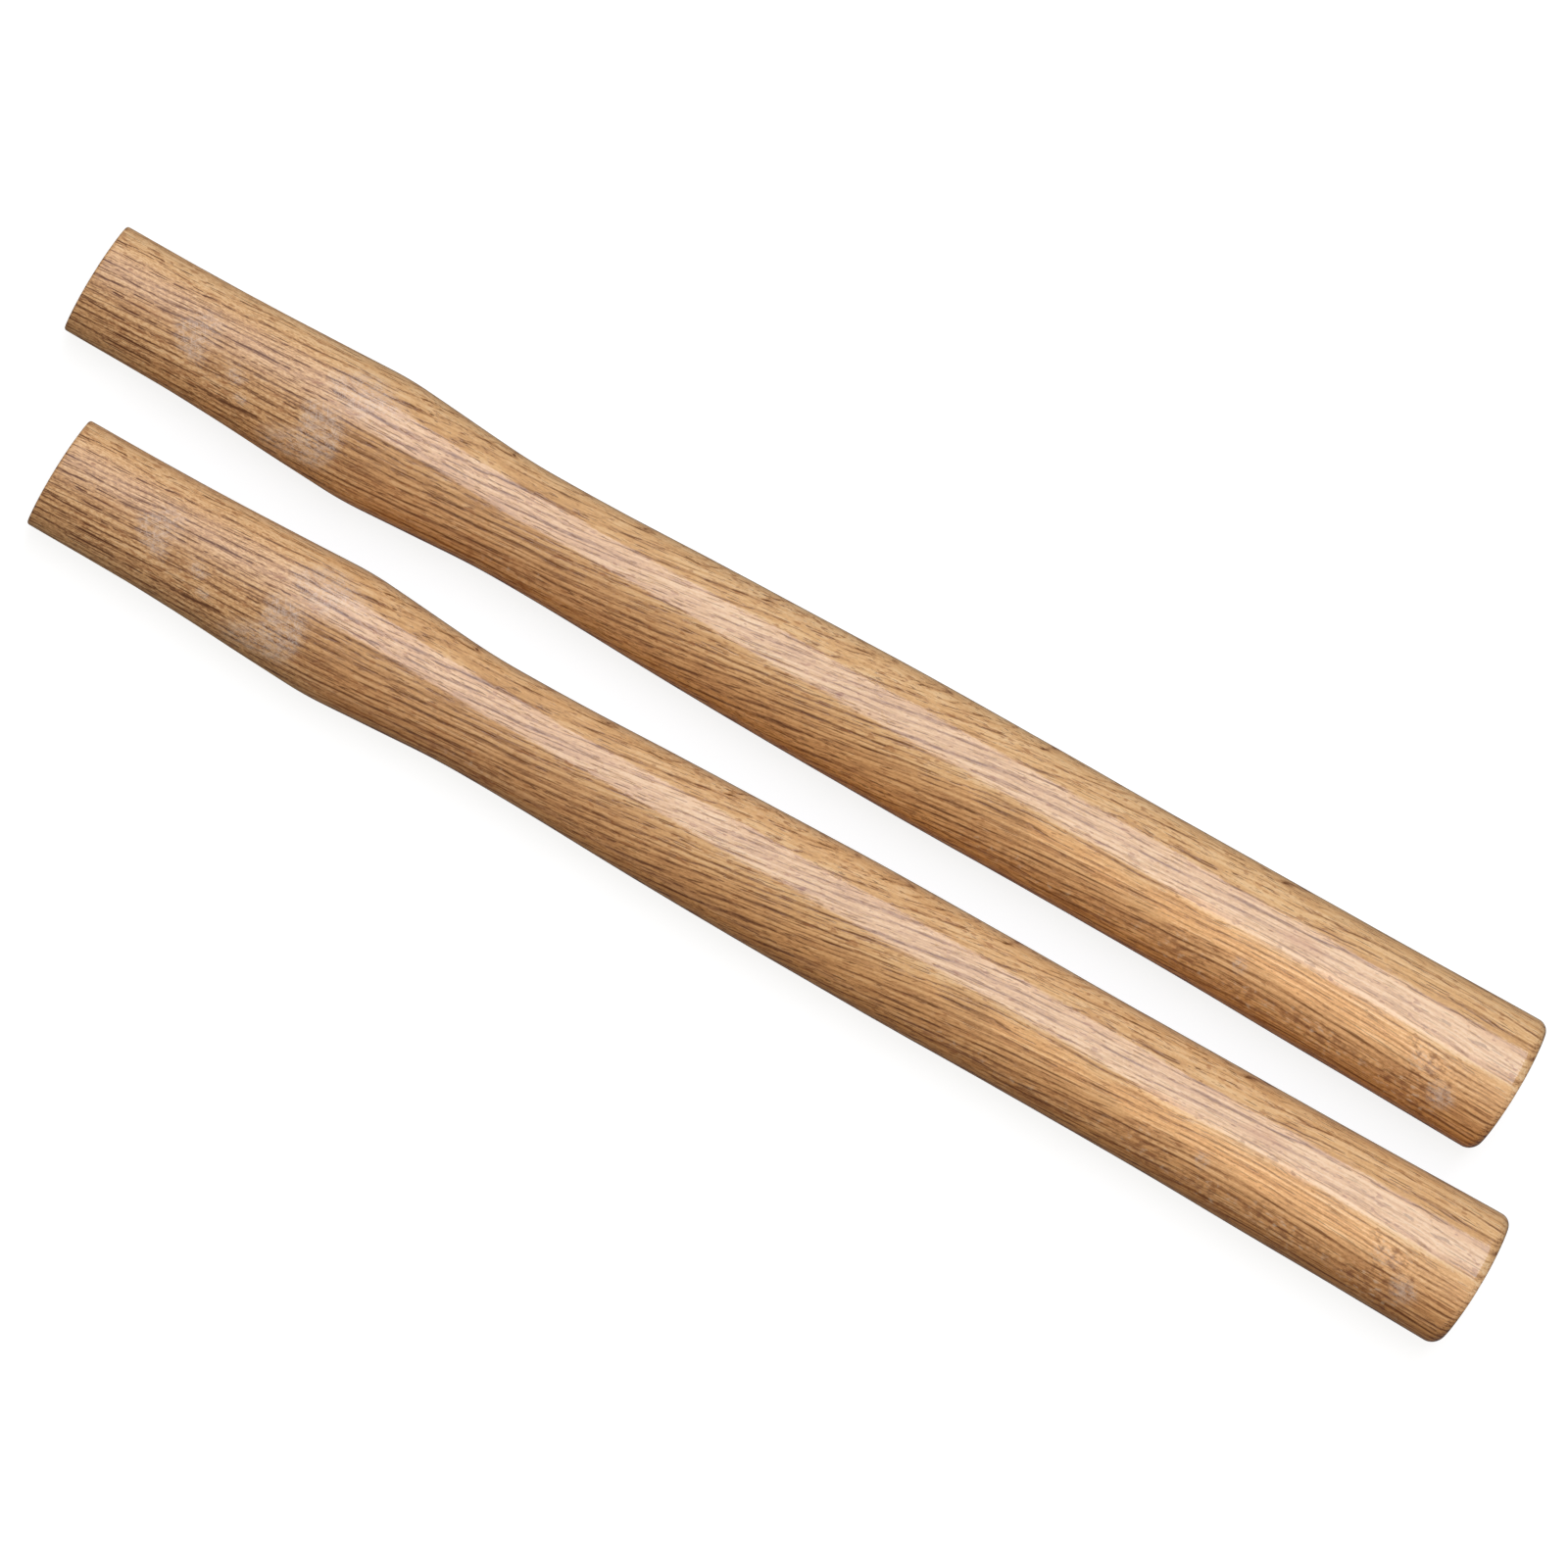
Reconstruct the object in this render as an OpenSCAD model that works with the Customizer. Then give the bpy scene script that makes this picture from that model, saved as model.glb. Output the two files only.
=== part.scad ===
/* [Handle] */
// Length of one handle, from the eye end to the butt
handle_length = 305; // [254:1:406]
// Thickness of the oval section as a share of its width
depth_share = 0.77; // [0.6:0.01:1]

/* [Eye end] */
// Width at the tip, where a hammer head goes on first
tip_width = 22.5; // [18:0.1:24]
// Width where the eye section starts to flare
eye_width = 22.9; // [18:0.1:24]
// Where that flare starts, as a share of the length
eye_share = 0.09; // [0.05:0.01:0.12]
// Radius that breaks the edge of the tip
tip_edge = 0.7; // [0.3:0.1:2]

/* [Shoulder and neck] */
// Width over the shoulder that the hammer head stops against
shoulder_width = 26.1; // [24:0.1:30]
// Where the shoulder stands, as a share of the length
shoulder_share = 0.2; // [0.18:0.01:0.22]
// Width of the neck, where the fall from the shoulder ends
neck_width = 22.1; // [18:0.1:24]
// Where the neck starts, as a share of the length
neck_share = 0.29; // [0.27:0.01:0.3]
// Width where the neck ends and the handle starts to swell
waist_width = 22.4; // [18:0.1:25]
// Where the neck ends, as a share of the length
waist_share = 0.345; // [0.34:0.005:0.37]

/* [Grip] */
// Width partway up the swell
swell_width = 24.4; // [20:0.1:26]
// Where that width is, as a share of the length
swell_share = 0.44; // [0.42:0.01:0.46]
// Width where the even stretch of the grip starts
belly_width = 25.8; // [22:0.1:28]
// Where the even stretch starts, as a share of the length
belly_share = 0.56; // [0.54:0.01:0.6]
// Width where the even stretch ends
grip_width = 25.7; // [22:0.1:28]
// Where the even stretch ends, as a share of the length
grip_share = 0.77; // [0.74:0.01:0.82]

/* [Butt] */
// Width that the grip flares to at the butt
butt_width = 27.7; // [24:0.1:30]
// Radius around the edge of the butt
butt_round = 2.7; // [1:0.1:6]
// Radius of the slightly crowned butt face
butt_crown = 110; // [60:1:200]

/* [Layout] */
// Distance between the axes of the two handles
axis_spacing = 34.8; // [32:0.1:80]
// How far the front handle lies past the rear one
stagger = 11.9; // [0:0.1:60]

/* [Hidden] */

// Lacquered oak
WOOD = [0.72, 0.57, 0.44];

// Sides of the round section before it is pressed to an oval
SECTION_SIDES = 96;
// Straight pieces along the side, and around each rounded edge
SIDE_STEPS = 60;
EDGE_STEPS = 6;
// Extra length that is cut off to leave a flat tip
TRIM = 2;

// Corners of the side outline: share of the length, width, and half the
// share of the length over which the corner is rounded
STATIONS = [
    [0, tip_width, 0],
    [eye_share, eye_width, 0.04],
    [shoulder_share, shoulder_width, 0.012],
    [neck_share, neck_width, 0.02],
    [waist_share, waist_width, 0.03],
    [swell_share, swell_width, 0.06],
    [belly_share, belly_width, 0.06],
    [grip_share, grip_width, 0.06],
    [1, butt_width, 0]
];

// Slope of the straight that leaves a station
function slope(i) =
    (STATIONS[i + 1][1] - STATIONS[i][1]) / (STATIONS[i + 1][0] - STATIONS[i][0]);

// Zero before a corner and equal to x after it, joined by a parabola
function bend(x, reach) =
    x < -reach ? 0 :
    x > reach ? x :
    (x + reach) * (x + reach) / (4 * reach);

// What the corners from station i onwards add to the width
function bends_from(i, share) =
    i > len(STATIONS) - 2 ? 0 :
    (slope(i) - slope(i - 1)) * bend(share - STATIONS[i][0], STATIONS[i][2])
        + bends_from(i + 1, share);

// Half the width at a distance from the eye end
function half_width(x) =
    let (share = x / handle_length)
    (tip_width + slope(0) * share + bends_from(1, share)) / 2;

// Points along an arc around a centre, without its last point
function arc(centre, radius, from, to) = [
    for (i = [0 : EDGE_STEPS - 1])
        let (angle = from + (to - from) * i / EDGE_STEPS)
        centre + radius * [cos(angle), sin(angle)]
];

// The edge round at the butt touches the side and the crowned face
butt_half = half_width(handle_length - butt_round);
edge_centre = butt_half - butt_round;
crown_centre = handle_length - butt_crown;
crown_angle = asin(edge_centre / (butt_crown - butt_round));
side_end = crown_centre + (butt_crown - butt_round) * cos(crown_angle);
tip_half = half_width(tip_edge);

// Half of the lengthwise section: radius, distance from the eye end
function outline() = concat(
    [[0, -TRIM], [tip_half - tip_edge, -TRIM]],
    arc([tip_half - tip_edge, tip_edge], tip_edge, -90, 0),
    [
        for (i = [0 : SIDE_STEPS - 1])
            let (x = tip_edge + (side_end - tip_edge) * i / SIDE_STEPS)
            [half_width(x), x]
    ],
    arc([edge_centre, side_end], butt_round, 0, 90 - crown_angle),
    arc([0, crown_centre], butt_crown, 90 - crown_angle, 90),
    [[0, handle_length]]
);

// A handle rests on its shoulder and its butt, so its axis rises a little
shoulder_at = shoulder_share * handle_length;
rest_tilt = -atan(depth_share * (butt_half - half_width(shoulder_at)) / (side_end - shoulder_at));
rest_height = depth_share * butt_half * cos(rest_tilt) + side_end * sin(rest_tilt);

// One solid handle along +X, broad side up, with its tip at the origin. It is
// turned in quarters, which keeps each surface a short patch once it is oval.
module handle() {
    rotate([0, rest_tilt, 0])
    difference() {
        rotate([0, 90, 0])
            scale([depth_share, 1, 1])
                for (turn = [0 : 90 : 270])
                    rotate([0, 0, turn])
                        rotate_extrude(angle = 90, $fn = SECTION_SIDES)
                            polygon(outline());
        translate([-2 * TRIM, -tip_width, -tip_width])
            cube([2 * TRIM, 2 * tip_width, 2 * tip_width]);
    }
}

// A handle moved to its place beside the other one
module placed_handle(side) {
    translate([-(handle_length + side * stagger) / 2, side * axis_spacing / 2, rest_height])
        handle();
}

module front_handle() {
    color(WOOD) placed_handle(-1);
}

module rear_handle() {
    color(WOOD) placed_handle(1);
}

front_handle();
rear_handle();
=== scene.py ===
"""A pair of lacquered oak hammer handles, seen from straight above on a pale floor."""

import math

import bpy
import numpy as np
from mathutils import Matrix, Vector


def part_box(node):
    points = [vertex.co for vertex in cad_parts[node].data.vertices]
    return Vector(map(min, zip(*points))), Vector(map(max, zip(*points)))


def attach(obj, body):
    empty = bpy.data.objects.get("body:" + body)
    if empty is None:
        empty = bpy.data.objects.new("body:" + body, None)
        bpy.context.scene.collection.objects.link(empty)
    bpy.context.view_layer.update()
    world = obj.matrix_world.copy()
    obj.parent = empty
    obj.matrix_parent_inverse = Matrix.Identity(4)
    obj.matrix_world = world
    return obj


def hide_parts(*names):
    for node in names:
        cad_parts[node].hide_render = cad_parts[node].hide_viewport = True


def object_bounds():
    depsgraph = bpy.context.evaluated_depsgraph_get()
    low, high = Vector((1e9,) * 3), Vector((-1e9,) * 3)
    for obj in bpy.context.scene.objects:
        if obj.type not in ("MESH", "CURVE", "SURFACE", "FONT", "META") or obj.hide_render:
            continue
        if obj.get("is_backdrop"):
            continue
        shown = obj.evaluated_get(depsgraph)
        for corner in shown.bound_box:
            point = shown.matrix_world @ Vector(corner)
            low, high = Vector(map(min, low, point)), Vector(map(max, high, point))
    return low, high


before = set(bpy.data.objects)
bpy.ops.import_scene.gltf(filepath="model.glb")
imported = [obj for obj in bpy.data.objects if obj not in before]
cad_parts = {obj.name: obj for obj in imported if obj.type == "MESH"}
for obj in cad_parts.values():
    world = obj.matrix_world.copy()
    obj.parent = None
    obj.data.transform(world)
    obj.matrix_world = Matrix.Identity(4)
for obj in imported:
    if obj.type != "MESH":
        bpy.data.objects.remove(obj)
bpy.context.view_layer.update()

MM = 0.001
HANDLES = ("front_handle", "rear_handle")

# Shape of one handle, as in the CAD: share of the length, width in mm, and half
# the share of the length over which that corner of the outline is rounded.
STATIONS = (
    (0, 22.5, 0),
    (0.09, 22.9, 0.04),
    (0.2, 26.1, 0.012),
    (0.29, 22.1, 0.02),
    (0.345, 22.4, 0.03),
    (0.44, 24.4, 0.06),
    (0.56, 25.8, 0.06),
    (0.77, 25.7, 0.06),
    (1, 27.7, 0),
)
LENGTH = (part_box(HANDLES[0])[1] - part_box(HANDLES[0])[0]).x / MM
DEPTH_SHARE = 0.77
SHOULDER_SHARE = STATIONS[2][0]
BUTT_ROUND = 2.7
BUTT_CROWN = 110

# Finer than the CAD: the cut at the tip is slightly rounded, foremost a little to one
# side, and its edge only just broken. The butt is a little out of square, and on the
# broad sides it has a narrow chamfer and no crown. Its edge is rounded more on one
# narrow side than on the other.
TIP_EDGE = 0.5
TIP_EDGE_UNEVENNESS = 0.2
TIP_CROWN = 140
TIP_CROWN_SIDE = -4.5
BUTT_SLANT = 0.02
BUTT_CHAMFER = 1.25
BUTT_CHAMFER_FLATNESS = 0.6
BUTT_ROUND_LEAN = 0.3
FLATTEST_CROWN = 4000

# How far along the handle the shape of an end reaches
END_REACH = 14
# The handle's slight crook, the share of the length at which it is strongest, and how
# much of it is lost towards the butt
CROOK = 0.35
CROOK_SHARE = 0.37
CROOK_LOSS = 0.6
# Height and length of the waves that sanding left, and the depth of the deepest dent
COARSE_WAVES = (0.03, 14)
FINE_WAVES = (0.006, 3.2)
DENT_DEPTH = 0.12

# How steeply the grain climbs across the handle, what is added to that in the middle and
# by the butt, and how steeply it runs into the wood
GRAIN_SLOPE = 0.05
ADDED_IN_MIDDLE = 0.09
ADDED_BY_BUTT = -0.07
GRAIN_DIVE = 0.02
# Where the middle begins and ends and the butt's part begins, in mm from the tip
MIDDLE_BEGINS = (80, 130)
MIDDLE_ENDS = (175, 225)
BUTT_BEGINS = (235, 285)
# The rows of pores lean: a row shifts across the handle by this share of the height.
ROW_LEAN = 0.25

# Where looks of the wood come in or go out, in mm from the tip
BARE_ENDS = (44, 66)
DARK_ENDS = (90, 170)
PALE_BEGINS = (170, 290)
# The filled pores and painted sheen under the highlight band come in here
FILLED_AND_SHEEN_BEGINS = (40, 180)
# Where two of them go out across the handle, in mm from the centre line: painted shade on the -Y side,
# away from the softbox, and the dark end's painted shade on that side
SHADE_SIDE_ENDS = (-12, 3)
SHADED_SIDE_WEIGHT_ENDS = (-2, 9)
# Two soft bands along the handle: middle, from the centre line, and half width, in mm
PALE_BAND = (-3, 5.5)
# Filled pores and painted sheen, along the highlight band
FILLED_AND_SHEEN_BAND = (4, 3.5)

# Fineness of the mesh
AROUND = 144
SIDE_RINGS = 545
EDGE_RINGS = 6
ROUND_RINGS = 9
FACE_RINGS = 18

# Marks on the broad side that lies up, in mm from the tip and from the centre line:
# (along, across, half length, half width, strength)
HAZE = (
    (21.8, 0.7, 4.5, 4.5, 0.65),
    (32.6, -2.9, 2, 1.4, 0.6),
    (35.5, -6.2, 2, 1.2, 0.6),
    (51.5, -5, 4.5, 6.5, 0.8),
    (48, -9, 7, 3, 0.6),
    (55, 6, 8, 4, 0.6),
    (248.6, -5.5, 2, 1.6, 0.7),
    (293.6, -8, 4, 2.6, 0.9),
    (287, -4, 3, 1.5, 0.4),
)
STAINS = (
    (256, 4.2, 4, 1.3, 0.8),
    (13, -0.2, 6, 1.4, 0.5),
)
STAIN_LEAN = 0.05
MOTTLED = (
    (236, -8, 10, 3, 0.8),
    (252, -9.6, 8, 3, 0.8),
    (268, -9.4, 12, 3.4, 0.9),
    (288, -7.5, 10, 6, 1),
    (205, -9.5, 14, 2.6, 0.6),
    (96, -7.5, 8, 2.5, 0.5),
    (30, -3.5, 7, 4, 0.5),
    (140, 10.5, 10, 1.6, 0.5),
)
GOLDEN = (
    (240, -2.2, 34, 3, 0.75),
    (276, -2.8, 16, 3, 0.5),
)
OPEN_PORES = (
    (9, -3.5, 11, 7, 1),
    (160, -7.8, 2.6, 0.9, 1),
    (155.4, -4.4, 2.2, 0.9, 0.8),
    (143, 10.5, 6, 1.2, 0.8),
    (182.3, 6.6, 1.6, 0.9, 0.3),
    (252, 8.5, 14, 2, 0.5),
)
DENTS = (
    (26, 1, 2.4, 1.6, 0.9),
    (48, -4, 3, 2, 1),
    (57, -7.5, 2, 1.4, 0.8),
    (161, -8, 1.6, 0.9, 0.8),
    (236, 5, 2, 1.2, 0.6),
    (291, -8.2, 1.8, 1.4, 1),
    (297, -5.4, 1.4, 1.2, 0.8),
)


# ---------------------------------------------------------------- shape

def slope(i):
    """Slope of the straight that leaves a station of the outline."""
    here, after = STATIONS[i], STATIONS[i + 1]
    return (after[1] - here[1]) / (after[0] - here[0])


def bend(x, reach):
    """Zero before a corner and equal to x after it, joined by a parabola."""
    return np.where(x < -reach, 0, np.where(x > reach, x, (x + reach) ** 2 / (4 * reach)))


def half_width(x):
    """Half the width of a handle at a distance from its tip."""
    share = np.asarray(x, float) / LENGTH
    width = STATIONS[0][1] + slope(0) * share
    for i in range(1, len(STATIONS) - 1):
        width = width + (slope(i) - slope(i - 1)) * bend(share - STATIONS[i][0], STATIONS[i][2])
    return width / 2


def ripples(points, wavelength, seed, waves=12):
    """A smooth random field between about -2 and 2, made of sine waves."""
    rng = np.random.default_rng(seed)
    total = np.zeros(len(points))
    for _ in range(waves):
        heading = rng.normal(size=3)
        heading *= rng.uniform(0.6, 1.4) / np.linalg.norm(heading)
        total += np.sin(points @ heading * math.tau / wavelength + rng.uniform(0, math.tau))
    return total / math.sqrt(waves / 2)


def smooth(x, low, high):
    """Rises smoothly from 0 at low to 1 at high."""
    t = np.clip((x - low) / (high - low), 0, 1)
    return t * t * (3 - 2 * t)


def tip_profile(angle):
    """Distance from the tip and radius, over the cut face and its broken edge, and the edge's size."""
    edge = TIP_EDGE * (1 + TIP_EDGE_UNEVENNESS * math.sin(5 * angle) * math.cos(3 * angle + 1))
    tip_half = half_width(edge)
    face = [(0, (tip_half - edge) * i / FACE_RINGS) for i in range(1, FACE_RINGS + 1)]
    turns = [math.pi / 2 * i / EDGE_RINGS for i in range(1, EDGE_RINGS)]
    corner = [(edge - edge * math.cos(t), tip_half - edge + edge * math.sin(t)) for t in turns]
    return face + corner, edge


def butt_profile(angle):
    """Distance from the tip and radius, over the butt's rounded edge and its face."""
    narrow = math.cos(angle) ** 2
    round_off = BUTT_ROUND * narrow + BUTT_CHAMFER * (1 - narrow) - BUTT_ROUND_LEAN * math.cos(angle)
    crown = min(BUTT_CROWN / max(narrow, 1e-6), FLATTEST_CROWN)
    edge_centre = half_width(LENGTH - BUTT_ROUND) - round_off
    crown_centre = LENGTH - crown
    crown_angle = math.asin(edge_centre / (crown - round_off))
    side_end = crown_centre + (crown - round_off) * math.cos(crown_angle)
    turns = np.linspace(0, math.pi / 2 - crown_angle, ROUND_RINGS + 1)
    arc = np.stack([side_end + round_off * np.sin(turns), edge_centre + round_off * np.cos(turns)], axis=1)
    chord = arc[0] + (arc[-1] - arc[0]) * np.linspace(0, 1, ROUND_RINGS + 1)[:, None]
    edge = arc + (chord - arc) * BUTT_CHAMFER_FLATNESS * (1 - narrow)
    crown_turns = [crown_angle * (1 - i / FACE_RINGS) for i in range(1, FACE_RINGS)]
    face = [(crown_centre + crown * math.cos(t), crown * math.sin(t)) for t in crown_turns]
    return list(edge[1:]) + face, side_end


def profile(angle):
    """Distance from the tip and radius, from the tip's centre to the butt's, at one angle around."""
    tip, side_start = tip_profile(angle)
    butt, side_end = butt_profile(angle)
    side = np.linspace(side_start, side_end, SIDE_RINGS)
    return np.array(tip + list(zip(side, half_width(side))) + butt)


def handle_points():
    """Rings of points over one handle, in mm from the tip's centre, then the two end centres."""
    angles = [math.tau * i / AROUND for i in range(AROUND)]
    curves = np.array([profile(a) for a in angles])
    along, radius = curves[:, :, 0].T, curves[:, :, 1].T
    across = radius * np.cos(angles)
    up = radius * np.sin(angles) * DEPTH_SHARE
    rings = np.stack([along, across, up], axis=2)
    points = rings.reshape(-1, 3)
    return np.vstack([points, [(0, 0, 0), (LENGTH, 0, 0)]]), len(rings)


def handle_faces(rings):
    """Quads between neighbouring rings, and a fan of triangles at each end."""
    i = np.arange(AROUND)
    after = (i + 1) % AROUND
    faces = []
    for r in range(rings - 1):
        a, b = r * AROUND, (r + 1) * AROUND
        faces += np.stack([a + i, a + after, b + after, b + i], axis=1).tolist()
    tip, butt = rings * AROUND, rings * AROUND + 1
    last = (rings - 1) * AROUND
    faces += np.stack([np.full(AROUND, tip), after, i], axis=1).tolist()
    faces += np.stack([np.full(AROUND, butt), last + i, last + after], axis=1).tolist()
    return faces


def outward_normals(points, rings):
    """Unit normals of the plain shape, ring by ring."""
    grid = points[: rings * AROUND].reshape(rings, AROUND, 3)
    run = np.gradient(grid, axis=0)
    turn = np.roll(grid, -1, axis=1) - np.roll(grid, 1, axis=1)
    normal = np.cross(turn, run)
    normal /= np.maximum(np.linalg.norm(normal, axis=2, keepdims=True), 1e-9)
    return np.vstack([normal.reshape(-1, 3), [(-1, 0, 0), (1, 0, 0)]])


def spots(points, marks, lean=0.0):
    """How strongly each point is covered by soft, uneven marks on the broad side that lies up."""
    cover = np.zeros(len(points))
    ragged = 0.22 * ripples(points * (0.6, 1, 1), wavelength=7, seed=8)
    for along, across, half_long, half_wide, strength in marks:
        x = points[:, 0] - along
        y = points[:, 1] - across - lean * x
        far = np.sqrt((x / half_long) ** 2 + (y / half_wide) ** 2) + ragged
        cover = np.maximum(cover, strength * (1 - smooth(far, 0.5, 1.3)))
    return cover * (points[:, 2] > 0)


def relief(points, outward):
    """The handle's surface with its crook, its sanded unevenness and its dents."""
    shaped = points.copy()
    along, across = points[:, 0], points[:, 1]
    share = along / LENGTH
    cut = (across - TIP_CROWN_SIDE) ** 2 / (2 * TIP_CROWN)
    shaped[:, 0] += cut * (1 - smooth(along, 0, END_REACH))
    shaped[:, 0] += BUTT_SLANT * across * smooth(along, LENGTH - END_REACH, LENGTH)
    crook = CROOK * (1 - CROOK_LOSS * share)
    shaped[:, 1] -= crook * np.cos(math.tau * (share - CROOK_SHARE) / (2 * CROOK_SHARE))
    side = smooth(along, 1, 6) * (1 - smooth(along, LENGTH - 6, LENGTH - 2))
    coarse = COARSE_WAVES[0] * ripples(points * (0.45, 1, 1), COARSE_WAVES[1], seed=1)
    fine = FINE_WAVES[0] * ripples(points * (0.3, 1, 1), FINE_WAVES[1], seed=2)
    dents = DENT_DEPTH * spots(points, DENTS)
    return shaped + outward * (side * (coarse + fine) - dents)[:, None]


# ---------------------------------------------------------------- grain

def grain_rise(x):
    """How far the grain has climbed across the handle by a distance from the tip."""
    steps = np.linspace(0, LENGTH, 200)
    in_middle = smooth(steps, *MIDDLE_BEGINS) * (1 - smooth(steps, *MIDDLE_ENDS))
    by_butt = smooth(steps, *BUTT_BEGINS)
    slopes = GRAIN_SLOPE + ADDED_IN_MIDDLE * in_middle + ADDED_BY_BUTT * by_butt
    return np.interp(x, steps, np.cumsum(slopes) * (steps[1] - steps[0]))


def grain_coordinates(points):
    """Where each point lies in the tree: along the fibres and across them, in mm."""
    flow = points.copy()
    flow[:, 1] -= grain_rise(points[:, 0])
    flow[:, 2] -= GRAIN_DIVE * points[:, 0]
    wander = points * (0.5, 1, 1)
    waviness = 0.3 + 0.35 * smooth(points[:, 0], 215, 270)
    flow[:, 1] += waviness * 0.8 * ripples(wander, wavelength=26, seed=3)
    flow[:, 2] += waviness * 0.5 * ripples(wander, wavelength=30, seed=4)
    flow[:, 1] += 0.05 * ripples(points * (0.6, 1, 1), wavelength=8, seed=5)
    return flow


def band(across, middle, half_wide):
    """A soft band along the handle, 1 in its middle."""
    return np.exp(-((across - middle) / half_wide) ** 2)


def area_values(points, outward):
    """How strongly each area's look shows at each point, from 0 to 1."""
    along, across = points[:, 0], points[:, 1]
    cut_angle = np.abs(outward[:, 2] - ROW_LEAN * outward[:, 1]) + np.abs(outward[:, 0])
    # Painted shade: the dark end darkens most on the -Y side, away from the softbox
    shaded_side_weight = 1 - 0.7 * smooth(across, *SHADED_SIDE_WEIGHT_ENDS)
    return {
        # The cut ends, and how steeply the surface cuts the rows of pores
        "end_grain": smooth(np.abs(outward[:, 0]), 0.8, 0.98),
        "row_slope": np.minimum(cut_angle, 1),
        # Duller wood at the eye end, darker wood from there to the grip with painted shade on its -Y side,
        # and painted shade on the -Y side, away from the softbox
        "bare": 1 - smooth(along + 0.5 * across, *BARE_ENDS),
        "dark_end_and_shade": (1 - smooth(along, *DARK_ENDS)) * shaded_side_weight,
        "shade_side": 1 - smooth(across, *SHADE_SIDE_ENDS),
        # Paler wood towards the butt, and along the middle, under the highlight band, pores filled by
        # lacquer and a painted sheen
        "pale": smooth(along, *PALE_BEGINS) * band(across, *PALE_BAND),
        "filled_and_sheen": smooth(along, *FILLED_AND_SHEEN_BEGINS) * band(across, *FILLED_AND_SHEEN_BAND),
        # Single marks
        "golden": spots(points, GOLDEN),
        "haze": spots(points, HAZE),
        "stain": spots(points, STAINS, STAIN_LEAN),
        "mottled": spots(points, MOTTLED),
        "open_pores": spots(points, OPEN_PORES),
    }


def handle_mesh(name):
    """One handle with its tip's centre at the origin, along +X, broad side up, in metres."""
    points, rings = handle_points()
    outward = outward_normals(points, rings)
    mesh = bpy.data.meshes.new(name)
    mesh.from_pydata((relief(points, outward) * MM).tolist(), [], handle_faces(rings))
    mesh.polygons.foreach_set("use_smooth", [True] * len(mesh.polygons))
    flow = mesh.attributes.new("grain_mm", "FLOAT_VECTOR", "POINT")
    flow.data.foreach_set("vector", grain_coordinates(points).astype(np.float32).ravel())
    for area, values in area_values(points, outward).items():
        attribute = mesh.attributes.new(area, "FLOAT", "POINT")
        attribute.data.foreach_set("value", values.astype(np.float32))
    return mesh


# ---------------------------------------------------------------- colours

def srgb(red, green, blue):
    """A colour given in 0 to 255 as it looks on a screen, made linear."""
    def linear(value):
        value /= 255
        return value / 12.92 if value <= 0.04045 else ((value + 0.055) / 1.055) ** 2.4
    return (linear(red), linear(green), linear(blue), 1)


# The wood from its darkest tone to its lightest
WOOD = (
    (0.1, srgb(120, 76, 38)),
    (0.36, srgb(166, 118, 72)),
    (0.55, srgb(200, 151, 100)),
    (0.78, srgb(228, 180, 122)),
    (1.0, srgb(244, 206, 154)),
)
# Painted light: the +Y side, towards the softbox, is pulled towards this paler colour
LIT_SIDE_COLOUR = srgb(198, 160, 118)
FLECK = srgb(146, 84, 40)
PORE = srgb(94, 48, 10)
CUT_END = srgb(128, 86, 54)
RING_LINE = srgb(92, 56, 30)
RAY = srgb(208, 168, 124)
STAIN = srgb(176, 112, 60)
DARK_BLOT = srgb(128, 74, 40)
PALE_BLOT = srgb(228, 200, 172)
VEIL = srgb(222, 206, 194)

# What the wood's colour is multiplied by in each area
PALE_TINT = (1.3, 1.38, 1.6, 1)
# Painted shade on the -Y side, away from the softbox
SHADE_SIDE_TINT = srgb(232, 206, 178)
# Painted sheen: a cooler, darker tint under the highlight band, part of the highlight's lavender look
PAINTED_SHEEN_TINT = (0.9, 0.92, 0.96, 1)
# Darker wood at the eye end, with painted shade on its -Y side
DARK_END_AND_SHADE_TINT = (0.9, 0.87, 0.88, 1)
GOLDEN_TINT = (1.22, 1.18, 1.14, 1)


# ---------------------------------------------------------------- materials

AREAS = (
    "end_grain",
    "row_slope",
    "bare",
    "dark_end_and_shade",
    "shade_side",
    "pale",
    "filled_and_sheen",
    "golden",
    "haze",
    "stain",
    "mottled",
    "open_pores",
)


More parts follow.
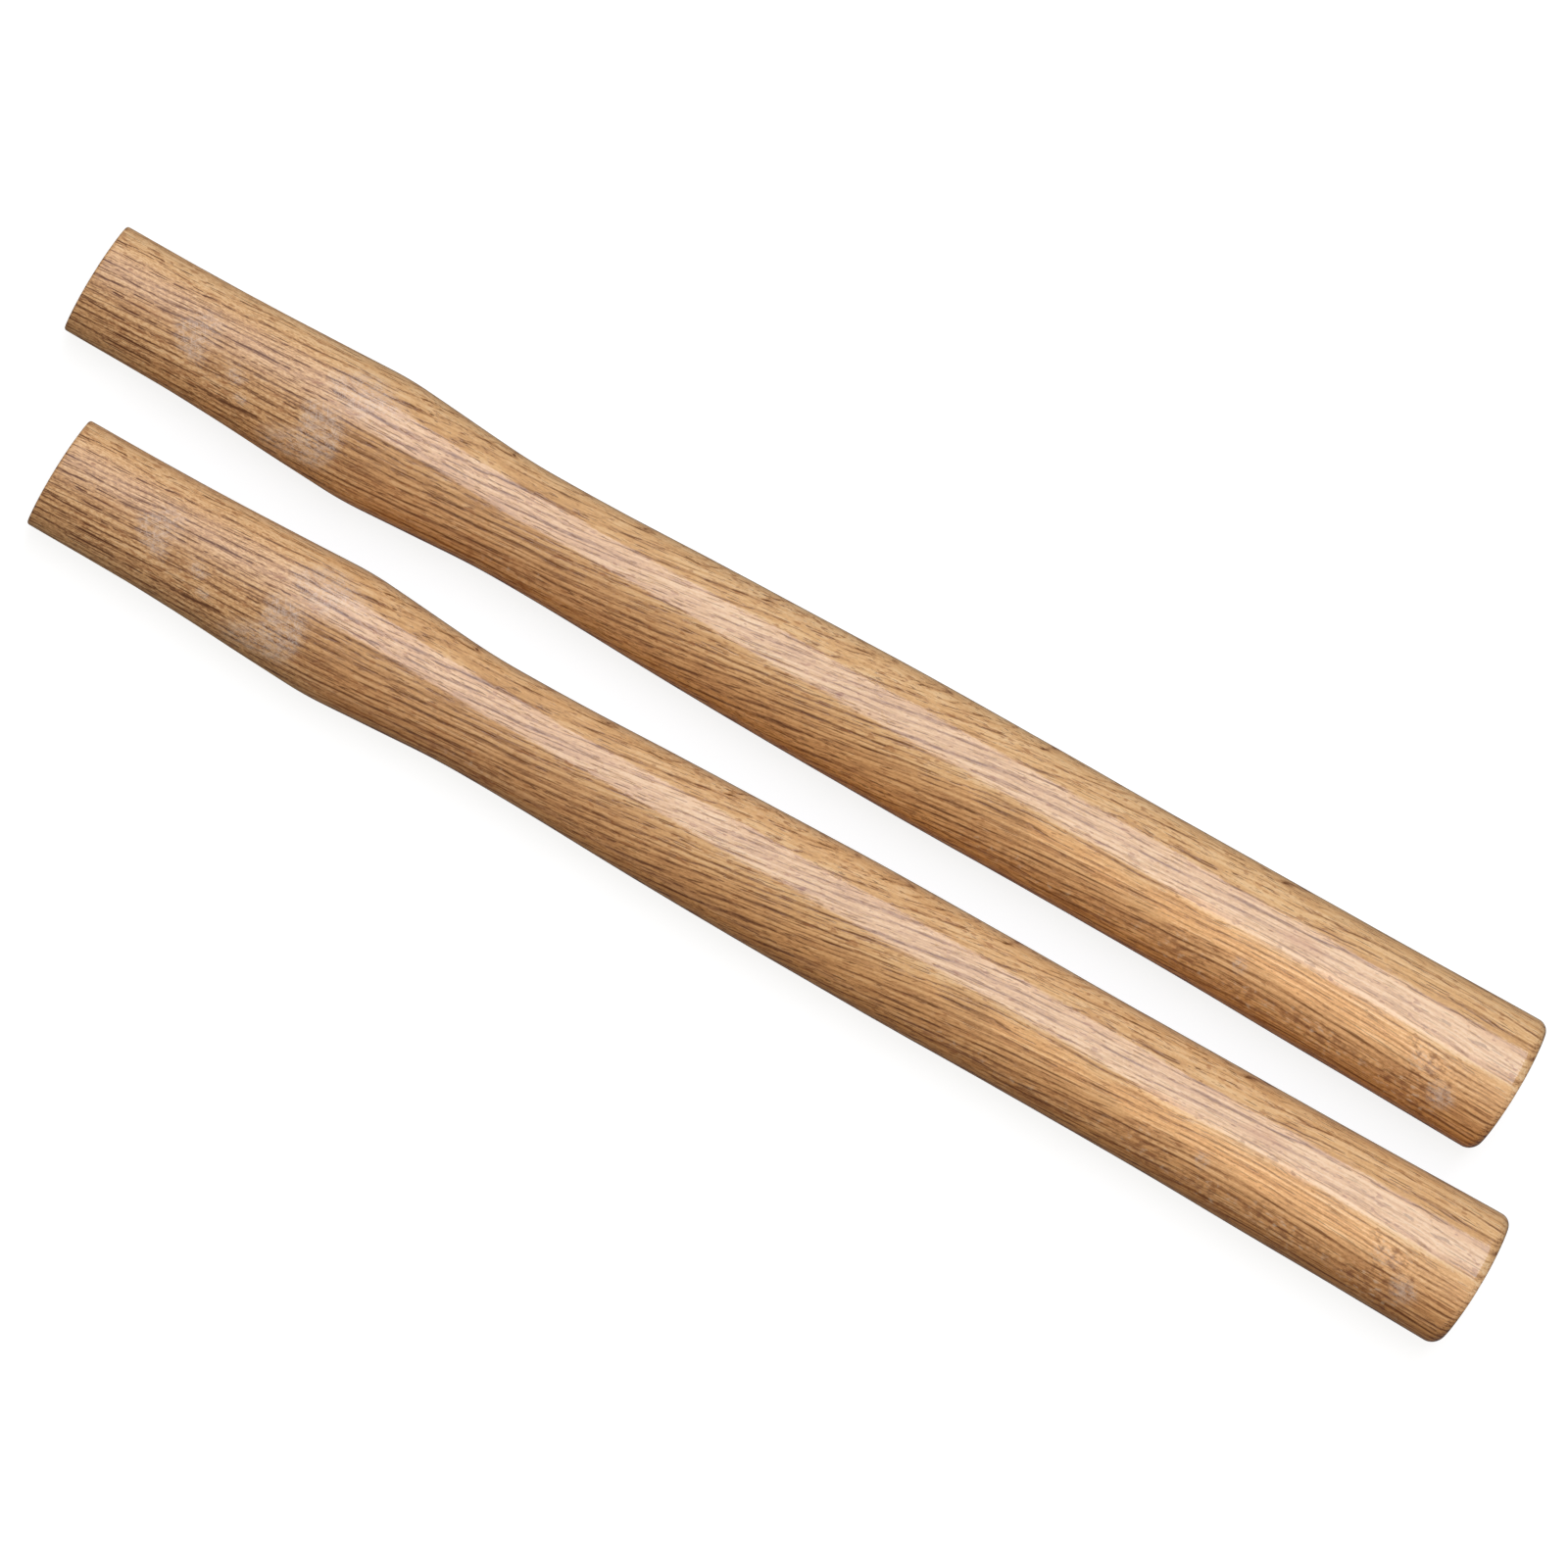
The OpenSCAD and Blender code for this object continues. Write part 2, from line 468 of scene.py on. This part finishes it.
class Nodes:
    """Adds nodes to a material. An input is a number, a colour or another node's output."""

    def __init__(self, name):
        self.material = bpy.data.materials.new(name)
        self.material.use_nodes = True
        self.tree = self.material.node_tree
        self.tree.nodes.clear()

    def add(self, kind, inputs, **settings):
        node = self.tree.nodes.new(kind)
        for key, value in settings.items():
            setattr(node, key, value)
        for key, value in inputs.items():
            if isinstance(value, bpy.types.NodeSocket):
                self.tree.links.new(value, node.inputs[key])
            else:
                node.inputs[key].default_value = value
        return node

    def math(self, operation, first, second=0.0):
        node = self.add("ShaderNodeMath", {0: first, 1: second}, operation=operation)
        return node.outputs[0]

    def plus(self, first, *others):
        for other in others:
            first = self.math("ADD", first, other)
        return first

    def minus(self, first, second):
        return self.math("SUBTRACT", first, second)

    def times(self, first, second):
        return self.math("MULTIPLY", first, second)

    def larger(self, first, second):
        return self.math("MAXIMUM", first, second)

    def total(self, start, *parts):
        """A start value plus each part's difference from one half, times its weight."""
        for weight, part in parts:
            inputs = {0: part, 1: weight, 2: -weight / 2}
            scaled = self.add("ShaderNodeMath", inputs, operation="MULTIPLY_ADD")
            start = self.plus(scaled.outputs[0], start)
        return start

    def ramp(self, value, low, high, start=0.0, end=1.0):
        """Rises smoothly from start at low to end at high."""
        inputs = {"Value": value, 1: low, 2: high, 3: start, 4: end}
        return self.add("ShaderNodeMapRange", inputs, interpolation_type="SMOOTHSTEP").outputs[0]

    def mix(self, factor, first, second, blend="MIX"):
        inputs = {0: factor, 6: first, 7: second}
        node = self.add("ShaderNodeMix", inputs, data_type="RGBA", blend_type=blend)
        return node.outputs[2]

    def gradient(self, value, stops):
        """A colour looked up between stops of a place and a colour."""
        node = self.add("ShaderNodeValToRGB", {0: value})
        elements = node.color_ramp.elements
        while len(elements) < len(stops):
            elements.new(0.5)
        for element, (place, colour) in zip(elements, stops):
            element.position = place
            element.color = colour
        return node.outputs[0]

    def attribute(self, name, output="Fac"):
        return self.add("ShaderNodeAttribute", {}, attribute_name=name).outputs[output]

    def turned(self, vector, axis, angle):
        inputs = {0: vector, 3: angle}
        return self.add("ShaderNodeVectorRotate", inputs, rotation_type=axis).outputs[0]

    def stretched(self, vector, along, across, shift=0.0):
        """Grain coordinates counted in lengths along the fibres and widths across them."""
        inputs = {0: vector, 1: (1 / along, 1 / across, 1 / across), 2: (shift, shift, shift)}
        return self.add("ShaderNodeVectorMath", inputs, operation="MULTIPLY_ADD").outputs[0]

    def noise(self, vector, detail=2.0, roughness=0.5):
        inputs = {"Vector": vector, "Scale": 1.0, "Detail": detail, "Roughness": roughness}
        return self.add("ShaderNodeTexNoise", inputs).outputs[0]


def slits(n, flow, row_slope, spacing, length, width, shift, crowding):
    """Pores cut lengthwise: dark slits with pointed ends, in rows that stand spacing apart."""
    wander = n.noise(n.stretched(flow, 60, 9, shift), 2, 0.4)
    axes = n.add("ShaderNodeSeparateXYZ", {0: flow})
    across = n.plus(axes.outputs["Y"], n.times(axes.outputs["Z"], ROW_LEAN))
    jitter = n.noise(n.stretched(flow, 10, 3, shift + 2.0), 1)
    row = n.plus(n.math("DIVIDE", across, spacing), n.times(wander, 2.4), n.times(jitter, 0.6))
    from_row = n.times(n.math("PINGPONG", row, 0.5), spacing)
    # Measured on the surface, so a slit stays narrow where the surface runs along its row
    from_row = n.math("DIVIDE", from_row, n.larger(row_slope, 0.3))
    swell = n.noise(n.stretched(flow, length, 0.5 * spacing, shift + 1.0), 2, 0.6)
    slit_half = n.ramp(n.plus(swell, crowding), 0.42, 0.62, -0.08, width / 2)
    slit = n.ramp(n.minus(slit_half, from_row), -0.04, 0.05)
    return n.times(slit, n.ramp(row_slope, 0.05, 0.3)), from_row


def pores(n, flow, area):
    """Pores in rows along the growth rings, finer rows between them, and loose ones."""
    row_pores, from_row = slits(
        n,
        flow,
        area["row_slope"],
        spacing=1.7,
        length=4.5,
        width=0.28,
        shift=3.0,
        crowding=n.times(area["open_pores"], 0.06),
    )
    fine_pores, from_fine_row = slits(
        n,
        flow,
        area["row_slope"],
        spacing=1.05,
        length=7,
        width=0.2,
        shift=29.0,
        crowding=n.times(n.minus(area["dark_end_and_shade"], n.times(area["bare"], 0.7)), 0.035),
    )
    # Some rows are bolder than others, each for a stretch.
    bold = n.ramp(n.noise(n.stretched(flow, 20, 1.6, 53.0)), 0.36, 0.62, 0.15, 1.0)
    near_row = n.times(n.ramp(from_row, 0.5, 0.1), bold)
    near_fine_row = n.ramp(from_fine_row, 0.3, 0.05)
    loose = n.noise(n.stretched(flow, 8, 0.24, 2.0))
    loose = n.ramp(n.plus(loose, n.times(near_row, 0.03)), 0.61, 0.68)
    pore = n.larger(n.larger(row_pores, loose), n.times(fine_pores, 0.7))
    # Pores close at the cut ends, in the pale wood, and under the highlight band, partly filled by lacquer
    # and partly hidden by the painted sheen
    closed = n.plus(
        n.times(area["end_grain"], 0.3),
        n.times(area["pale"], 0.45),
        n.times(area["filled_and_sheen"], 0.4),
    )
    return n.times(pore, n.minus(1.0, closed)), near_row, near_fine_row


def grain_layers(n, flow, bare):
    """Streaks of noise along the fibres, from wide bands down to single fibres and grit."""
    grit = n.noise(n.stretched(flow, 0.8, 0.22, 17.0), 2, 0.6)
    return {
        "broad": n.noise(n.stretched(flow, 85, 6)),
        "streak": n.noise(n.stretched(flow, 34, 1.25, 7.0), 2, 0.6),
        "fibre": n.noise(n.stretched(flow, 13, 0.4, 11.0), 2, 0.6),
        "grit": grit,
        "rough_grit": n.times(n.minus(grit, 0.5), bare),
    }


def wood_tone(n, area, grain, near_row, near_fine_row):
    """How light the wood is: lighter towards the butt, darker along rows and, as painted shade, on the -Y
    side away from the softbox.
    """
    tone = n.total(
        0.525,
        (0.5, grain["broad"]),
        (0.55, grain["streak"]),
        (0.85, grain["fibre"]),
        (0.65, grain["grit"]),
        (-0.42, near_row),
        (-0.18, near_fine_row),
    )
    even_rows = n.plus(n.times(near_row, 0.2), 0.04)
    tone = n.plus(tone, n.plus(grain["rough_grit"], n.times(area["pale"], even_rows)))
    # Painted shade: darker on the -Y side, away from the softbox, and a little darker at the bare eye end
    return n.minus(tone, n.times(n.plus(area["shade_side"], n.times(area["bare"], 0.7)), 0.05))


def tinted(n, colour, area):
    """The wood's colour, changed over whole areas: painted shade on the -Y side away from the softbox,
    painted light on the +Y side, and a painted sheen under the highlight band.
    """
    # Painted shade on the -Y side, less at the bare eye end
    shade_side_brown = n.times(area["shade_side"], n.minus(0.85, n.times(area["bare"], 0.6)))
    tints = (
        (area["pale"], PALE_TINT),
        (shade_side_brown, SHADE_SIDE_TINT),
        # Painted sheen: cooler and darker under the highlight band
        (area["filled_and_sheen"], PAINTED_SHEEN_TINT),
        (area["dark_end_and_shade"], DARK_END_AND_SHADE_TINT),
        (area["golden"], GOLDEN_TINT),
    )
    for amount, tint in tints:
        colour = n.mix(amount, colour, tint, "MULTIPLY")
    # Painted light: the +Y side, towards the softbox, is pulled towards a paler colour
    return n.mix(n.times(n.minus(1.0, area["shade_side"]), 0.25), colour, LIT_SIDE_COLOUR)


def flecked(n, colour, flow, area, broad):
    """Rays show as short red-brown flecks, mostly on the -Y side, away from the softbox."""
    fleck = n.plus(
        n.noise(n.stretched(flow, 2.2, 0.6, 23.0), 1),
        n.times(broad, 0.3),
        n.times(n.minus(area["shade_side"], area["pale"]), 0.05),
    )
    return n.mix(n.times(n.ramp(fleck, 0.79, 0.86), 0.5), colour, FLECK)


def end_cut(n, colour, flow, end_grain, near_row):
    """The darker cut ends, where growth rings show as lines crossed by pale rays."""
    colour = n.mix(n.times(end_grain, 0.4), colour, CUT_END)
    colour = n.mix(n.times(n.times(near_row, end_grain), 0.45), colour, RING_LINE)
    turned = n.turned(flow, "X_AXIS", -math.atan(ROW_LEAN))
    stretch = {0: turned, 1: (0.01, 1 / 6, 1 / 0.35)}
    ray = n.noise(n.add("ShaderNodeVectorMath", stretch, operation="MULTIPLY").outputs[0], 1)
    return n.mix(n.times(n.ramp(ray, 0.54, 0.68), n.times(end_grain, 0.4)), colour, RAY)


def mottled(n, colour, flow, area):
    """Red-brown blots and pale specks where the grain turns."""
    blot = n.noise(n.stretched(flow, 1.7, 1.1, 43.0), 2, 0.6)
    dark_blot = n.times(n.ramp(blot, 0.48, 0.68), area["mottled"])
    pale_blot = n.times(n.ramp(blot, 0.44, 0.28), area["mottled"])
    colour = n.mix(n.times(dark_blot, 0.7), colour, DARK_BLOT)
    return n.mix(n.times(pale_blot, 0.5), colour, PALE_BLOT)


def scratches(n, flow, degrees, shift):
    """Fine straight scratches at an angle to the grain."""
    turned = n.turned(flow, "Z_AXIS", math.radians(degrees))
    return n.ramp(n.noise(n.stretched(turned, 2.4, 0.14, shift), 1), 0.57, 0.65)


def scuffed(n, colour, flow, area):
    """Scuffed lacquer: a thin grey veil with crossing scratches."""
    scratch = n.larger(scratches(n, flow, 62, 31.0), scratches(n, flow, -48, 37.0))
    cloud = n.ramp(n.noise(n.stretched(flow, 1.3, 0.8, 41.0), 3, 0.6), 0.38, 0.62, 0.02, 0.34)
    veil = n.plus(cloud, n.times(scratch, 0.45))
    return n.mix(n.times(area["haze"], veil), colour, VEIL)


def oak(name):
    """Clear-lacquered oak with broken dark pores, duller and bare at the eye end."""
    n = Nodes(name)
    flow = n.attribute("grain_mm", "Vector")
    area = {key: n.attribute(key) for key in AREAS}
    pore, near_row, near_fine_row = pores(n, flow, area)
    grain = grain_layers(n, flow, area["bare"])

    colour = n.gradient(wood_tone(n, area, grain, near_row, near_fine_row), WOOD)
    colour = tinted(n, colour, area)
    colour = flecked(n, colour, flow, area, grain["broad"])
    depth = n.plus(n.times(area["bare"], 0.12), n.times(area["open_pores"], 0.2), 0.8)
    colour = n.mix(n.times(pore, depth), colour, PORE)
    colour = end_cut(n, colour, flow, area["end_grain"], near_row)
    colour = n.mix(n.times(area["stain"], 0.4), colour, STAIN)
    colour = mottled(n, colour, flow, area)
    colour = scuffed(n, colour, flow, area)

    roughness = n.plus(
        n.times(area["bare"], 0.3),
        n.times(area["haze"], 0.16),
        n.times(area["end_grain"], 0.15),
        n.times(pore, 0.06),
        n.ramp(grain["streak"], 0.3, 0.7, 0.07, 0.12),
    )
    height = n.total(0.0, (0.3, grain["streak"]), (0.5, grain["fibre"]), (-1.4, pore))
    height = n.plus(height, n.times(grain["rough_grit"], 1.2))
    bump = n.add("ShaderNodeBump", {"Strength": 1.0, "Distance": 0.015 * MM, "Height": height})
    shader = n.add(
        "ShaderNodeBsdfPrincipled",
        {
            "Base Color": colour,
            "Roughness": roughness,
            "Normal": bump.outputs[0],
            "IOR": 1.5,
        },
    )
    n.add("ShaderNodeOutputMaterial", {0: shader.outputs[0]})
    return n.material


def floor_paper():
    """Plain white studio paper, a little luminous so that its shadows stay light."""
    n = Nodes("floor_paper")
    grain = n.add("ShaderNodeTexNoise", {"Scale": 900.0, "Detail": 2.0})
    colour = n.mix(grain.outputs[0], (0.27, 0.27, 0.27, 1), (0.3, 0.3, 0.3, 1))
    shader = n.add(
        "ShaderNodeBsdfPrincipled",
        {
            "Base Color": colour,
            "Roughness": 0.9,
            "Emission Color": (1, 1, 1, 1),
            "Emission Strength": 0.84,
        },
    )
    n.add("ShaderNodeOutputMaterial", {0: shader.outputs[0]})
    return n.material


# ---------------------------------------------------------------- pieces

def resting_tilt():
    """A handle rests on its shoulder and its butt, so its axis rises towards the butt."""
    butt = half_width(LENGTH - BUTT_ROUND)
    shoulder = half_width(SHOULDER_SHARE * LENGTH)
    reach = LENGTH * (1 - SHOULDER_SHARE) - BUTT_ROUND
    return math.atan(DEPTH_SHARE * (butt - shoulder) / reach)


def place_handle(node, wood):
    """One handle where its CAD node lies, riding on that node's body."""
    low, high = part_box(node)
    # The butt's top is the highest point, and the tip's centre lies below it.
    tilt = resting_tilt()
    butt_rise = math.sin(tilt) * LENGTH * MM
    butt_half = DEPTH_SHARE * half_width(LENGTH - BUTT_ROUND) * MM
    at = Vector((low.x, (low.y + high.y) / 2, high.z - butt_half - butt_rise))
    mesh = handle_mesh(node + "_wood")
    mesh.transform(Matrix.Translation(at) @ Matrix.Rotation(-tilt, 4, "Y"))
    mesh.materials.append(wood)
    handle = bpy.data.objects.new(node + "_wood", mesh)
    bpy.context.scene.collection.objects.link(handle)
    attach(handle, node)
    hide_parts(node)


lacquered_oak = oak("lacquered_oak")
for name in HANDLES:
    place_handle(name, lacquered_oak)


# ---------------------------------------------------------------- studio

# The picture's right-hand direction is turned from +X, so the handles run down to the right.
PICTURE_TURN = math.radians(29.734)
# What the picture spans at the handles' half height, and where its centre lies in it
PICTURE_WIDTH = 291.7 * MM
CENTRE_OFFSET = (-0.26 * MM, -0.47 * MM)
# How high the camera stands and how far it sees, in metres
CAMERA_HEIGHT = 4.0
CAMERA_RANGE = 50
# Half the floor's side, in metres, wide enough that its edge doesn't show from low down
FLOOR_HALF = 40.0
# The light from each height, from 0 straight down to 1 straight up
SKY = (
    (0.0, (0.07, 0.08, 0.1)),
    (0.42, (0.08, 0.1, 0.13)),
    (0.5, (0.6, 0.58, 0.54)),
    (0.6, (0.45, 0.43, 0.37)),
    (1.0, (0.44, 0.42, 0.36)),
)


def add_floor():
    mesh = bpy.data.meshes.new("floor")
    corners = [(x * FLOOR_HALF, y * FLOOR_HALF, 0) for x, y in ((-1, -1), (1, -1), (1, 1), (-1, 1))]
    mesh.from_pydata(corners, [], [(0, 1, 2, 3)])
    mesh.materials.append(floor_paper())
    floor = bpy.data.objects.new("floor", mesh)
    # The handles don't mirror or catch the floor's light, as on a dark table.
    floor.visible_glossy = False
    floor.visible_diffuse = False
    bpy.context.scene.collection.objects.link(floor)
    floor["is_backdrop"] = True


def add_softbox(name, lean, distance, width, length, radiance):
    """A cool softbox leaning from straight above towards +Y, as bright as radiance says."""
    light = bpy.data.lights.new(name, "AREA")
    light.shape = "RECTANGLE"
    light.size = length
    light.size_y = width
    light.energy = radiance * math.pi * width * length
    light.color = (0.97, 0.98, 1.13)
    box = bpy.data.objects.new(name, light)
    box.location = (0, distance * math.sin(lean), distance * math.cos(lean))
    box.rotation_euler = (-lean, 0, 0)
    box.visible_camera = False
    bpy.context.scene.collection.objects.link(box)


def add_world():
    """Warm grey light from above, a pale horizon, and cool and dark below as over a dark table."""
    world = bpy.data.worlds.new("studio")
    world.use_nodes = True
    bpy.context.scene.world = world
    tree = world.node_tree
    direction = tree.nodes.new("ShaderNodeTexCoord")
    split = tree.nodes.new("ShaderNodeSeparateXYZ")
    # From -1 to 1 straight up into 0 to 1
    lift = tree.nodes.new("ShaderNodeMath")
    lift.operation = "MULTIPLY_ADD"
    lift.inputs[1].default_value = 0.5
    lift.inputs[2].default_value = 0.5
    ramp = tree.nodes.new("ShaderNodeValToRGB")
    tree.links.new(direction.outputs["Generated"], split.inputs[0])
    tree.links.new(split.outputs["Z"], lift.inputs[0])
    tree.links.new(lift.outputs[0], ramp.inputs[0])
    tree.links.new(ramp.outputs[0], tree.nodes["Background"].inputs[0])
    elements = ramp.color_ramp.elements
    while len(elements) < len(SKY):
        elements.new(0.5)
    for element, (place, colour) in zip(elements, SKY):
        element.position = place
        element.color = (*colour, 1)


def add_camera():
    """A camera straight above, far enough away that the handles' sides hardly show."""
    camera = bpy.data.objects.new("camera", bpy.data.cameras.new("camera"))
    half_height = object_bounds()[1][2] / 2
    camera.data.lens = camera.data.sensor_width * (CAMERA_HEIGHT - half_height) / PICTURE_WIDTH
    turn = Matrix.Rotation(PICTURE_TURN, 4, "Z")
    at = turn @ Vector((*CENTRE_OFFSET, CAMERA_HEIGHT))
    camera.matrix_world = Matrix.Translation(at) @ turn
    camera.data.clip_end = CAMERA_RANGE
    bpy.context.scene.collection.objects.link(camera)
    bpy.context.scene.camera = camera


add_floor()
add_softbox("main_softbox", lean=math.radians(29), distance=2.0, width=1.78, length=1.2, radiance=4.1)
add_world()
add_camera()
bpy.context.scene.view_settings.view_transform = "Standard"
